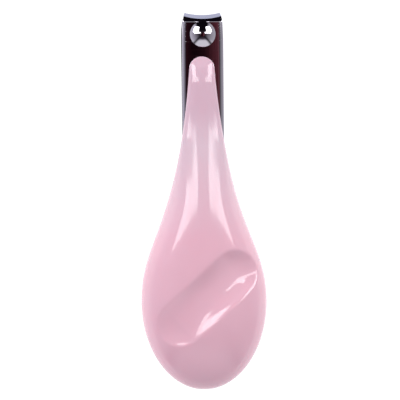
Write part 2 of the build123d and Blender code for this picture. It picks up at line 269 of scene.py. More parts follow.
# -------------------------------------------- shader writing
class Wire:
    """A socket or a number in a shader, with the operators that build Math nodes."""

    def __init__(self, paint: "Paint", source: object) -> None:
        """Holds a socket or a plain number of one material."""
        self.paint = paint
        self.source = source

    def _math(self, operation: str, *others: object) -> "Wire":
        """Adds one Math node for an operation on this value and others."""
        values = {str(place): item for place, item in enumerate((self, *others))}
        return self.paint.node("ShaderNodeMath", {"operation": operation}, values)["Value"]

    def __add__(self, other: object) -> "Wire":
        """Sum."""
        return self._math("ADD", other)

    __radd__ = __add__

    def __mul__(self, other: object) -> "Wire":
        """Product."""
        return self._math("MULTIPLY", other)

    __rmul__ = __mul__

    def __sub__(self, other: object) -> "Wire":
        """Difference."""
        return self._math("SUBTRACT", other)

    def __rsub__(self, other: object) -> "Wire":
        """Difference from a plain number."""
        return Wire(self.paint, other)._math("SUBTRACT", self)

    def __pow__(self, other: object) -> "Wire":
        """Power."""
        return self._math("POWER", other)

    def __lt__(self, other: object) -> "Wire":
        """1 where this value is smaller, otherwise 0."""
        return self._math("LESS_THAN", other)

    def size(self) -> "Wire":
        """The value without its sign."""
        return self._math("ABSOLUTE")

    def clamp(self, low: float = 0.0, high: float = 1.0) -> "Wire":
        """The value held between two limits."""
        return self._math("MAXIMUM", low)._math("MINIMUM", high)


class Outputs:
    """Named outputs of a node, handed out as wires."""

    def __init__(self, paint: "Paint", made: bpy.types.Node) -> None:
        """Remembers a node and the material that it is in."""
        self.paint = paint
        self.made = made

    def __getitem__(self, name: str) -> Wire:
        """One output by its name."""
        return Wire(self.paint, self.made.outputs[name])


class Paint:
    """A node tree that is written from Python expressions."""

    def __init__(self, tree: bpy.types.NodeTree) -> None:
        """Empties a tree and starts writing it."""
        self.tree = tree
        tree.nodes.clear()

    def node(self, kind: str, settings: dict[str, object] | None = None,
             sockets: dict[str, object] | None = None) -> Outputs:
        """Adds one node.

        Args:
            kind: the node's type.
            settings: its properties, set first; stops gives a ramp's places and colours.
            sockets: value or wire for each input, by name or by number.

        Returns:
            The node's outputs.
        """
        made = self.tree.nodes.new(kind)
        for name, value in (settings or {}).items():
            if name == "stops":
                self._ramp(made.color_ramp, value)
            else:
                setattr(made, name, value)
        for name, value in (sockets or {}).items():
            self._feed(made.inputs[int(name)] if name.isdigit() else made.inputs[name], value)
        return Outputs(self, made)

    def _feed(self, socket: bpy.types.NodeSocket, value: object) -> None:
        """Links a wire to a socket, or sets its value.

        Args:
            socket: the socket.
            value: a wire, a socket or a plain value.
        """
        source = value.source if isinstance(value, Wire) else value
        if isinstance(source, bpy.types.NodeSocket):
            self.tree.links.new(source, socket)
        else:
            socket.default_value = source

    @staticmethod
    def _ramp(ramp: bpy.types.ColorRamp, stops: Sequence[tuple[float, Colour]]) -> None:
        """Sets a colour ramp's stops."""
        while len(ramp.elements) < len(stops):
            ramp.elements.new(1.0)
        for element, (place, colour) in zip(ramp.elements, stops):
            element.position, element.color = place, colour

    def mix(self, factor: object, first: object, second: object) -> Wire:
        """Blend of two colours."""
        sockets = {"0": factor, "6": first, "7": second}
        made = self.node("ShaderNodeMix", {"data_type": "RGBA"}, sockets)
        return Wire(self, made.made.outputs[2])

    def place(self, stretch: Point = (1.0, 1.0, 1.0)) -> Wire:
        """Place on the object in metres, stretched along the axes."""
        spot = self.node("ShaderNodeTexCoord")["Object"]
        return self.node("ShaderNodeMapping", {}, {"Vector": spot, "Scale": stretch})["Vector"]

    def noise(self, scale: float, detail: float = 2.0, stretch: Point = (1.0, 1.0, 1.0)) -> Wire:
        """Smooth noise over the object, in features per metre."""
        sockets = {"Vector": self.place(stretch), "Scale": scale, "Detail": detail}
        return self.node("ShaderNodeTexNoise", {}, sockets)["Fac"]

    def surface(self, sockets: dict[str, object]) -> None:
        """Principled surface with these inputs, joined to the output."""
        shader = self.node("ShaderNodeBsdfPrincipled", {}, sockets)["BSDF"]
        self.node("ShaderNodeOutputMaterial", {}, {"Surface": shader})

    def bump(self, height: Wire, strength: float, distance: float) -> Wire:
        """Normal bent by a height."""
        sockets = {"Height": height, "Strength": strength, "Distance": distance}
        return self.node("ShaderNodeBump", {}, sockets)["Normal"]


def new_material(name: str) -> tuple[Finish, Paint]:
    """A fresh material and the paint that writes it."""
    material = bpy.data.materials.new(name)
    material.use_nodes = True
    return material, Paint(material.node_tree)


def arc(offset: float, reach: float) -> float:
    """Height of a unit circle's arc at a share of its reach."""
    return sqrt(max(1 - (offset / reach) ** 2, 0.0))


def rgb(red: float, green: float, blue: float) -> Colour:
    """Linear colour from screen values of 0 to 255."""
    def linear(value: float) -> float:
        """One channel."""
        share = value / 255
        return share / 12.92 if share <= 0.04045 else ((share + 0.055) / 1.055) ** 2.4
    return linear(red), linear(green), linear(blue), 1.0


# -------------------------------------------------- finishes
@dataclass(frozen=True)
class MouldedPlastic:
    """Glossy coloured plastic, as it comes from a polished mould.

    It is paler on the neck and greyer and darker on the tongue. This is painted light along the clipper: a
    painted sheen on the neck and painted shade on the tongue.
    """

    name: str = "glossy_pink"
    shade: Colour = rgb(238, 191, 206)
    deep: Colour = rgb(235, 184, 200)
    # Painted light: the pale neck colour is a painted sheen, and the greyer, darker tongue colour after it
    # is painted shade.
    pale: Colour = rgb(224, 197, 209)
    thin: Colour = rgb(216, 182, 197)
    roughness: float = 0.065
    neck_start: float = -0.010
    neck_rate: float = 42.0
    tongue_start: float = 0.014
    tongue_rate: float = 110.0
    cloud_scale: float = 70.0
    haze_scale: float = 420.0
    haze_depth: float = 0.07
    rub_scale: float = 900.0
    rub_stretch: Point = (1.0, 0.12, 1.0)
    rub_depth: float = 0.3
    ripple_scale: float = 230.0
    ripple_depth: float = 0.00012

    def make(self) -> Finish:
        """Builds the material."""
        material, paint = new_material(self.name)
        cloud = paint.noise(self.cloud_scale)
        spot = paint.node("ShaderNodeSeparateXYZ", {}, {"Vector": paint.place()})
        # Masks along Y for the painted light: painted sheen on the neck, painted shade on the tongue.
        neck = ((spot["Y"] - self.neck_start) * self.neck_rate).clamp()
        tongue = ((spot["Y"] - self.tongue_start) * self.tongue_rate).clamp()
        body = paint.mix(cloud, self.deep, self.shade)
        haze = paint.noise(self.haze_scale, 3.0) * self.haze_depth
        rubs = paint.noise(self.rub_scale, 2.0, self.rub_stretch) ** 6.0 * self.rub_depth
        ripple = paint.noise(self.ripple_scale, 1.0)
        sockets = {
            # Base colour with the painted sheen on the neck and the painted shade on the tongue mixed in.
            "Base Color": paint.mix(tongue, paint.mix(neck, body, self.pale), self.thin),
            "Roughness": (haze + rubs + (self.roughness - self.haze_depth / 2)).clamp(0.05, 0.6),
            "Normal": paint.bump(ripple, 0.06, self.ripple_depth),
            "Subsurface Weight": 0.12,
            "Subsurface Radius": (1.0, 0.45, 0.5),
            "Subsurface Scale": 0.0012,
            "IOR": 1.49,
            "Specular IOR Level": 0.75,
        }
        paint.surface(sockets)
        return material


class Polish(Enum):
    """How the steel was finished: roughness, strength of the grain, and its stretch along each axis."""

    MIRROR = (0.045, 0.03, (1.0, 1.0, 1.0))
    PLATED = (0.045, 0.08, (1.0, 0.05, 1.0))
    GROUND = (0.24, 0.35, (1.0, 0.08, 0.08))
    STAMPED = (0.12, 0.18, (0.25, 1.0, 1.0))


@dataclass(frozen=True)
class Steel:
    """Plated steel with the fine marks of its finishing and of use."""

    name: str
    polish: Polish
    shade: Colour = rgb(226, 222, 228)
    worn: Colour = rgb(205, 203, 210)
    grain_scale: float = 5200.0
    smudge_scale: float = 260.0
    scratch_scale: float = 3400.0
    scratch_stretch: Point = (0.06, 1.0, 1.0)
    mark_depth: float = 0.000012

    def make(self) -> Finish:
        """Builds the material."""
        base, grain_strength, stretch = self.polish.value
        material, paint = new_material(self.name)
        grain = paint.noise(self.grain_scale, 2.0, stretch)
        smudge = paint.noise(self.smudge_scale, 3.0)
        scratch = paint.noise(self.scratch_scale, 1.0, self.scratch_stretch) ** 9.0 * 20.0
        sockets = {
            "Base Color": paint.mix(smudge, self.worn, self.shade),
            "Metallic": 1.0,
            "Roughness": (smudge * 0.03 + grain * 0.02 + scratch * 0.02 + (base - 0.02)).clamp(0.02, 0.6),
            "Normal": paint.bump(grain + scratch * 0.3, grain_strength, self.mark_depth),
        }
        paint.surface(sockets)
        return material


@dataclass
class FinishSet:
    """Every finish of the clipper, made once."""

    plastic: Finish = field(default_factory=lambda: MouldedPlastic().make())
    mirror: Finish = field(default_factory=lambda: Steel("mirror_steel", Polish.MIRROR).make())
    plated: Finish = field(default_factory=lambda: Steel("plated_steel", Polish.PLATED).make())
    ground: Finish = field(default_factory=lambda: Steel(
        "ground_bevel", Polish.GROUND, rgb(158, 159, 184), rgb(140, 142, 166)).make())
    stamped: Finish = field(default_factory=lambda: Steel("stamped_steel", Polish.STAMPED).make())


def dress(obj: Piece, node: str, body: str, slot: str, *finishes: Finish) -> None:
    """Gives a piece its finishes and its body, and hides the CAD node that it stands for.

    Args:
        obj: the piece.
        node: the CAD node that it replaces.
        body: the body that it rides on.
        slot: not used.
        finishes: its materials, in the order of its faces' numbers.
    """
    obj.data.materials.clear()
    for finish in finishes:
        obj.data.materials.append(finish)
    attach(obj, body)
    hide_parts(node)
    log.info("%s on %s: %d faces", obj.name, body, len(obj.data.polygons))


# ---------------------------------------- the teardrop shape
@dataclass
class Groove:
    """Long finger rest pressed into the crown, rounded at both ends."""

    start: Pair = (-6.5, -30.8)
    end: Pair = (7.6, -18.1)
    half_width: float = 5.9
    depth_start: float = 1.4
    depth_end: float = 2.4
    crest: float = 0.10
    fullness: float = 2.4
    deepening: float = 0.7
    outside: float = -1.0

    def depth(self, x: float, y: float) -> float:
        """How far the crown is pressed in.

        Args:
            x: place across the clipper.
            y: place along it.

        Returns:
            The depth.
        """
        along = (self.end[0] - self.start[0], self.end[1] - self.start[1])
        length = sqrt(along[0] ** 2 + along[1] ** 2)
        offset = (x - self.start[0], y - self.start[1])
        share = (offset[0] * along[0] + offset[1] * along[1]) / length**2
        held = min(max(share, 0.0), 1.0)
        gap = sqrt((offset[0] - held * along[0]) ** 2 + (offset[1] - held * along[1]) ** 2)
        inside = 1 - (gap / self.half_width) ** self.fullness
        if inside < self.outside:
            return 0.0
        rounded = soft_max(inside, 0.0, self.crest) - self.crest / 2
        reach = self.depth_start + (self.depth_end - self.depth_start) * held**self.deepening
        return reach * max(rounded, 0.0)


@dataclass
class Teardrop:
    """Outline and height of a half shell: round front, curved neck, elliptical bulb."""

    tail: float
    tip: float
    wide: float
    half_width_max: float
    front_radius: float
    handle_neck: float = 41.0
    handle_bulb: float = 16.0
    flare: float = 0.08
    halvings: int = 32

    def half_width(self, y: float) -> float:
        """Half the width of the outline.

        Args:
            y: place along the clipper.

        Returns:
            Half the width.
        """
        front = self.tip - self.front_radius
        if y >= front:
            return sqrt(max(self.front_radius**2 - (y - front) ** 2, 0.0))
        if y <= self.wide:
            return self.half_width_max * arc(y - self.wide, self.wide - self.tail)
        along = (front, front - self.handle_neck, self.wide + self.handle_bulb, self.wide)
        narrow = self.front_radius + self.flare * self.handle_neck
        across = (self.front_radius, narrow, self.half_width_max, self.half_width_max)
        low, high = 0.0, 1.0
        for _ in range(self.halvings):
            middle = (low + high) / 2
            low, high = (middle, high) if bezier(along, middle) > y else (low, middle)
        return bezier(across, low)


@dataclass
class HalfShell:
    """One moulded half: a dome over a flat parting face, hollowed behind the rim."""

    name: str
    outline: Line
    base: Line
    crown: Line
    tail: float
    tip: float
    press: Relief = lambda x, y: 0.0
    skew: Line = lambda y: 0.0
    fullness: float = 2.15
    edge: float = 0.45
    edge_limit: float = 0.4
    stations: int = 260
    ribs: int = 88
    edge_steps: int = 5
    floor_steps: int = 9

    def ring(self, y: float) -> list[Point]:
        """One closed upright section.

        Args:
            y: place along the clipper.

        Returns:
            The section's points.
        """
        width, base, crown = self.outline(y), self.base(y), self.crown(y)
        sense = 1.0 if crown > base else -1.0
        height = abs(crown - base)
        ease = min(self.edge, width * self.edge_limit, height * self.edge_limit)
        points: list[Point] = []
        power = 2 / self.fullness
        for step in range(self.ribs + 1):
            angle = pi * step / self.ribs
            side = cos(angle)
            x = width * (1 if side > 0 else -1) * abs(side) ** power
            lift = ease + (height - ease) * sin(angle) ** power if 0 < step < self.ribs else ease
            points.append((x, y, base + sense * lift))
        corner = [(width - ease + ease * cos(a), ease - ease * sin(a))
                  for a in even(0, pi / 2, self.edge_steps)[1:]]
        left = [(-x, y, base + sense * z) for x, z in corner]
        right = [(x, y, base + sense * z) for x, z in reversed(corner)]
        flat = [(x, y, base) for x in even(-(width - ease), width - ease, self.floor_steps)[1:-1]]
        pressed = [(x, yy, z - sense * self.press(x, yy)) for x, yy, z in points]
        return [(x + self.skew(y), yy, z) for x, yy, z in pressed + left + flat + right]

    def make(self) -> Piece:
        """Builds the closed skin."""
        rings = [self.ring(y) for y in crowded(self.tail, self.tip, self.stations)]
        return ring_skin(self.name, rings, CRISP_MOULDED)


def plate_mesh(name: str, outline: Line, tail: float, front: float, low: float,
               high: float, dish: Relief = lambda x, y: 0.0,
               ease: float = 0.25) -> Piece:
    """Flat closing plate with eased edges.

    Args:
        name: the object's name.
        outline: half width along the clipper.
        tail: rear end.
        front: front end.
        low: height of the lower face.
        high: height of the upper face.
        dish: how far the upper face is pressed in at a place.
        ease: rounding of the edges.

    Returns:
        The new object.
    """
    stations, rounds, middle, crisp = 90, 40, 0.02, 50.0
    places = crowded(tail, front, stations)
    loop = [(outline(y), y) for y in places] + [(-outline(y), y) for y in reversed(places)]
    centre = (tail + front) / 2
    shrink = 1 - ease / outline(centre)
    levels = [(share, low, False) for share in (middle, 0.5, shrink)]
    levels += [(1.0, low + ease, False), (1.0, high - ease, False), (shrink, high, True)]
    levels += [(share, high, True) for share in even(shrink, middle, rounds)[1:]]
    rings = []
    for share, height, dished in levels:
        ring = []
        for x, y in loop:
            px, py = x * share, centre + (y - centre) * share
            ring.append((px, py, height - (dish(px, py) if dished else 0.0)))
        rings.append(ring)
    return ring_skin(name, rings, crisp)


# -------------------------------------------- grip and cover
@dataclass
class Grip:
    """Upper half of the handle: pressed shell over the steel, and the plate that closes it."""

    finishes: FinishSet
    plate_thick: float = 1.8
    plate_room: float = 0.2
    plate_back: float = 3.0
    pocket_clear: float = 0.35
    seat_clear: float = 0.02
    strip_thick: float = 1.1
    climb_start: float = 22.0
    climb_end: float = 42.4
    fall_start: float = 7.4
    fall_end: float = 7.45
    end_trim: float = 0.01
    overshoot: float = 5.0
    tongue_radius: float = 3.22
    tongue_rise: float = 2.3
    tip_length: float = 7.2
    tip_fall: float = 0.03
    askew: float = 0.3

    def __post_init__(self) -> None:
        """Takes the sizes from the CAD nodes."""
        low, high = node_box("grip_shell")
        leaf_low, leaf_high = node_box("grip_leaf")
        self.floor, self.top = low.z, high.z
        self.seat = leaf_high.z
        self.strip_half = leaf_high.x
        self.strip_tail = leaf_low.y
        self.tail, self.tip = low.y, high.y
        self.wide = low.y + BULB_REACH
        self.shape = Teardrop(self.tail, self.tip, self.wide, high.x, self.tongue_radius)
        self.groove = Groove()

    def base(self, y: float) -> float:
        """Lower edge: on the steel under the tongue, then down to the bulb's parting face."""
        climb = soft_step(y, self.wide + self.climb_start, self.wide + self.climb_end)
        return self.floor + (self.seat - self.floor) * climb

    def crown(self, y: float) -> float:
        """Height of the middle line.

        Args:
            y: place along the clipper.

        Returns:
            The height.
        """
        rise = self.top - self.floor
        if y <= self.wide:
            return self.floor + rise * arc(y - self.wide, self.wide - self.tail)
        thick = self.tongue_rise - self.tip_fall * max(y - self.tip + self.tip_length, 0.0) ** 2
        tongue = self.seat + thick
        front = self.tip - self.shape.front_radius
        if y <= front:
            fall = soft_step(y, self.wide + self.fall_start, front - self.fall_end)
            return tongue + (self.top - tongue) * (1 - fall)
        return self.seat + thick * arc(y - front, self.shape.front_radius)

    def skew(self, y: float) -> float:
        """Sideways place of the moulding, which sits a little askew on the steel."""
        return -self.askew * soft_step(y, self.wide, self.tip)

    def build(self) -> None:
        """Makes the shell and its closing plate."""
        shell = HalfShell("grip_moulding", self.shape.half_width, self.base, self.crown,
                          self.tail + self.end_trim, self.tip - self.end_trim, self.groove.depth,
                          self.skew).make()
        front = self.strip_tail - self.plate_back
        recess = plate_mesh("cutter", lambda y: self.shape.half_width(y) - RIM, self.tail + RIM, front,
                            self.floor - 1, self.floor + self.plate_thick + self.plate_room,
                            ease=self.end_trim)
        combine(shell, recess, "DIFFERENCE", CRISP_MOULDED)
        half, back = self.strip_half + self.pocket_clear, self.strip_tail - self.pocket_clear
        under = self.seat - self.strip_thick
        ahead = self.tip + self.overshoot
        pocket = block((-half, back, self.floor - 2), (half, ahead, under))
        combine(shell, pocket, "DIFFERENCE", CRISP_MOULDED)
        seat = self.strip_half + self.seat_clear
        bed = block((-seat, self.strip_tail, under - 1), (seat, ahead, self.seat))
        combine(shell, bed, "DIFFERENCE", CRISP_MOULDED)
        dress(shell, "grip_shell", "grip", "pink_plastic", self.finishes.plastic)
        gap = RIM + SEAM
        plate = plate_mesh("grip_closing_plate", lambda y: self.shape.half_width(y) - gap,
                           self.tail + gap, front - SEAM, self.floor, self.floor + self.plate_thick)
        dress(plate, "grip_plate", "grip", "pink_plastic", self.finishes.plastic)


@dataclass
class LeverCover:
    """Lower half of the handle: crowned shell on the lever's arm, and the thumb plate that closes it."""

    finishes: FinishSet
    plate_thick: float = 1.8
    plate_room: float = 0.2
    mouth_ahead: float = 18.0
    rise_ahead: float = 26.0
    edge: float = 0.5
    end_trim: float = 0.01
    sleeve_half: float = 4.3
    sleeve_clear: float = 0.02
    sleeve_blend: float = 0.3
    nose_low: float = 2.6
    nose_high: float = 7.4
    dish_radius: float = 24.0
    dish_depth: float = 0.8
    dish_blend: float = 0.08
    dish_edge: float = -0.5

    def __post_init__(self) -> None:
        """Takes the sizes from the CAD nodes."""
        low, high = node_box("lever_cover")
        grip_low, grip_high = node_box("grip_shell")
        self.tail, self.front, self.top = low.y, high.y, high.z
        self.wide = grip_low.y + BULB_REACH
        self.inset = grip_high.x - high.x
        self.grip_shape = Teardrop(grip_low.y, grip_high.y, self.wide, grip_high.x, TONGUE_RADIUS)
        self.mouth = self.wide + self.mouth_ahead

    def outline(self, y: float) -> float:
        """Half width: the grip's outline drawn in, and a sleeve round the arm in front.

        Args:
            y: place along the clipper.

        Returns:
            Half the width.
        """
        if y <= self.wide:
            half = self.grip_shape.half_width_max - self.inset
            return half * arc(y - self.wide, self.wide - self.tail)
        half = self.grip_shape.half_width(y) - self.inset - self.sleeve_clear
        return soft_max(half, self.sleeve_half, self.sleeve_blend)

    def inner(self, y: float) -> float:
        """Height of the face towards the grip."""
        rise = soft_step(y, self.wide + self.rise_ahead, self.front)
        return self.top + (self.nose_high - self.top) * rise

    def outer(self, y: float) -> float:
        """Height of the crown, which is the lowest line."""
        if y <= self.wide:
            return self.top - self.top * arc(y - self.wide, self.wide - self.tail)
        return self.nose_low * soft_step(y, self.wide, self.front)

    def dish(self, x: float, y: float) -> float:
        """Depth of the thumb rest.

        Args:
            x: place across the clipper.
            y: place along it.

        Returns:
            The depth.
        """
        gap = x * x + (y - self.wide) ** 2
        sphere = sqrt(max(self.dish_radius**2 - gap, 0.0)) - (self.dish_radius - self.dish_depth)
        if sphere <= self.dish_edge:
            return 0.0
        return soft_max(sphere, 0.0, self.dish_blend) - self.dish_blend / 2

    def build(self) -> None:
        """Makes the shell and the thumb plate."""
        shell = HalfShell("cover_moulding", self.outline, self.inner, self.outer,
                          self.tail + self.end_trim, self.front, edge=self.edge).make()
        recess = plate_mesh("cutter", lambda y: self.outline(y) - RIM, self.tail + RIM, self.mouth,
                            self.top - self.plate_thick - self.plate_room, self.top + 1,
                            ease=self.end_trim)
        combine(shell, recess, "DIFFERENCE", CRISP_MOULDED)
        dress(shell, "lever_cover", "lever", "pink_plastic", self.finishes.plastic)
        gap = RIM + SEAM
        plate = plate_mesh("thumb_rest_plate", lambda y: self.outline(y) - gap, self.tail + gap,
                           self.mouth - SEAM, self.top - self.plate_thick, self.top, self.dish)
        dress(plate, "thumb_plate", "lever", "pink_plastic", self.finishes.plastic)


# ----------------------------------------------------- steel
@dataclass
class Leaf:
    """One stamped steel leaf with a folded, hollow-ground nose."""

    length: float = 54.0
    half_width: float = 5.25
    thick: float = 1.1
    nose_half: float = 4.5
    nose_taper: float = 4.4
    corner: float = 2.0
    edge_round: float = 1.15
    edge_turn: float = 46.0
    fold: float = 2.4
    ridge: float = 0.03
    facet_fall: float = 0.25
    grind: float = 0.71
    bevel_back: float = 0.97
    nose_power: float = 1.8
    drop: float = 2.3
    inner_back: float = 1.6
    hollow: float = 0.55
    crown: float = 0.035
    tail_steps: tuple[float, ...] = (0.0, 0.12, 0.4, 0.9, 1.4, 2.0)
    straight_start: float = 5.0
    cutting_edge: float = 0.03
    fold_root: float = -0.22
    columns_half: int = 17
    columns_edge: int = 9

    def plan_half(self, y: float) -> float:
        """Half width along the leaf: rounded tail, straight sides, tapered nose."""
        if y < self.corner:
            return self.half_width - self.corner + sqrt(max(self.corner**2 - (self.corner - y) ** 2, 0.0))
        share = max(y - self.length + self.nose_taper, 0.0) / self.nose_taper
        return self.half_width + (self.nose_half - self.half_width) * share**self.nose_power

    def facet(self, y: float) -> float:
        """Height of the sloping facet between the crease and the ground bevel."""
        return self.thick + self.ridge - max(y - self.length + self.fold, 0.0) * self.facet_fall

    def profile(self) -> list[tuple[float, float | None, float, float]]:
        """Closed side view as place, height, hollow at the middle, and share of the edge rounding.

        A height of None lies on the facet, wherever the hollow puts it.
        """
        end, crease = self.length, self.length - self.fold
        outside = (*self.tail_steps, *even(self.straight_start, crease - 0.1, 12))
        flat = [(y, self.thick, 0.0, 1.0) for y in outside]
        fold = [(crease - 0.04, self.thick + self.ridge, 0.0, 0.7), (crease, None, 0.0, 0.3)]
        facet = [(crease + 0.3, None, 0.15, 0.1), (end - self.bevel_back, None, self.grind, 0.0)]
        edge_z = self.thick - self.drop
        cutting = [(end, edge_z + self.cutting_edge, self.hollow, 0.0),
                   (end - self.cutting_edge, edge_z, self.hollow, 0.0)]
        inner = [(end - self.inner_back * 0.55, edge_z, 0.3, 0.0),
                 (end - self.inner_back, edge_z + 0.02, 0.0, 0.0),
                 (crease - self.inner_back + 0.35, self.fold_root, 0.0, 0.0),
                 (crease - self.inner_back, 0.0, 0.0, 0.0)]
        inside = (*even(end - 6.0, self.straight_start, 10), *reversed(self.tail_steps))
        back = [(y, 0.0, 0.0, 0.0) for y in inside]
        return flat + fold + facet + cutting + inner + back

    def columns(self) -> list[Pair]:
        """Places across the leaf from -1 to 1, each with the drop of the rounded edge there."""
        turn = radians(self.edge_turn)
        r = self.edge_round / sin(turn)
        side = [(1 - (self.edge_round - r * sin(a)) / self.half_width, r * (1 - cos(a)))
                for a in even(turn, 0.0, self.columns_edge)]
        middle = [(x, 0.0) for x in even(0.0, side[-1][0], self.columns_half)[:-1]]
        half = middle + side[::-1]
        return [(-x, d) for x, d in reversed(half)] + half[1:]

    def make(self, name: str) -> Piece:
        """Builds the leaf lying with its inner face on Z = 0 and its tail at Y = 0.

        Args:
            name: the object's name.

        Returns:
            The new object.
        """
        rings = []
        for share, drop in self.columns():
            ring = []
            for y, z, hollow, rounding in self.profile():
                place = y - hollow * (1 - share * share)
                height = self.facet(place) if z is None else z
                lift = self.crown * share * share * (1 if rounding else 0)
                ring.append((share * self.plan_half(y), place, height - drop * rounding - lift))
            rings.append(ring)
        return ring_skin(name, rings, CRISP_STEEL)

    def mark_bevel(self, obj: Piece, nose_y: float, low: float, high: float) -> None:
        """Gives the ground bevel its own finish: the faces near the nose that look forward.

        Args:
            obj: the leaf.
            nose_y: place of its nose.
            low: height below which no face is ground.
            high: height above which no face is ground.
        """
        facing = 0.3
        for face in obj.data.polygons:
            centre = face.center / MM
            hollow = self.grind * (1 - (centre.x / self.nose_half) ** 2)
            ahead = centre.y > nose_y - self.bevel_back - hollow
            if ahead and low < centre.z < high and abs(face.normal.y) > facing:
                face.material_index = 1


@dataclass
class Jaws:
    """Both leaves, placed as a grip-side and a lever-side jaw."""

    finishes: FinishSet
    pin_hole: float = 1.85
    pin_slot: float = 2.25
    spread: float = 5.0
    drill_foot: float = -5.0
    drill_top: float = 30.0

    def build(self) -> None:
        """Makes, drills and places both leaves."""
        low, high = node_box("grip_leaf")
        pin_y, root_z = joint_place("pin_swivel")[0], joint_place("jaw_squeeze")[1]
        leaf = Leaf(length=high.y - low.y, half_width=high.x)
        grip_side = leaf.make("grip_side_leaf")
        grip_side.data.transform(Matrix.Translation(Vector((0, low.y, high.z - leaf.thick)) * MM))
        lever_side = leaf.make("lever_side_leaf")
        turn = Matrix.Rotation(-radians(self.spread), 4, "X") @ Matrix.Scale(-1, 4, (0, 0, 1))
        lever_side.data.transform(Matrix.Translation(Vector((0, low.y, root_z)) * MM) @ turn)
        lever_side.data.flip_normals()
        for obj, hole in ((grip_side, self.pin_hole), (lever_side, self.pin_slot)):
            drill = lathe("drill", [(hole, self.drill_foot), (hole, self.drill_top)], (0.0, pin_y, 0.0))
            combine(obj, drill, "DIFFERENCE", CRISP_STEEL)
        steel = (self.finishes.plated, self.finishes.ground)
        dress(grip_side, "grip_leaf", "grip", "steel_leaf", *steel)
        dress(lever_side, "lever_leaf", "jaw", "steel_leaf", *steel)
        leaf.mark_bevel(grip_side, high.y, low.z - 0.02, high.z)
        tip = node_box("lever_leaf")
        leaf.mark_bevel(lever_side, tip[1].y, tip[0].z, root_z)


@dataclass
class Pin:
    """Pivot pin with a domed head and a notch for the lever's bar."""

    finishes: FinishSet
    shank: float = 1.8
    foot_ease: float = 0.3
    head_height: float = 1.6
    head_ease: float = 0.1
    lip: float = 0.08
    rim: float = 0.32
    centre: float = 0.01
    dome_steps: int = 44
    sides: int = 128
    bar_fit: float = 0.73

    def build(self) -> None:
        """Turns the pin and cuts its notch."""
        low, high = node_box("pivot_pin")
        head_radius = high.x
        axis_y = (low.y + high.y) / 2
        head_base = high.z - self.head_height
        cap = self.head_height - self.rim
        ball = (head_radius**2 + cap**2) / (2 * cap)
        profile = [(2 * self.centre, low.z), (self.shank - self.foot_ease, low.z),
                   (self.shank, low.z + self.foot_ease), (self.shank, head_base),
                   (head_radius - self.head_ease, head_base), (head_radius, head_base + self.lip)]
        reach = head_radius - self.centre
        for radius in [reach * cos(a) for a in even(0.0, pi / 2, self.dome_steps)]:
            height = high.z - ball + sqrt(ball**2 - radius**2)
            profile.append((max(radius, self.centre), height))
        pin = lathe("domed_pin", profile, (0.0, axis_y, 0.0), self.sides)
        notch = bar_between(self.bar_fit, 2 * self.shank, *joint_place("lever_flip"))
        combine(pin, notch, "DIFFERENCE", CRISP_TURNED)
        dress(pin, "pivot_pin", "pin", "steel_pin", self.finishes.mirror)


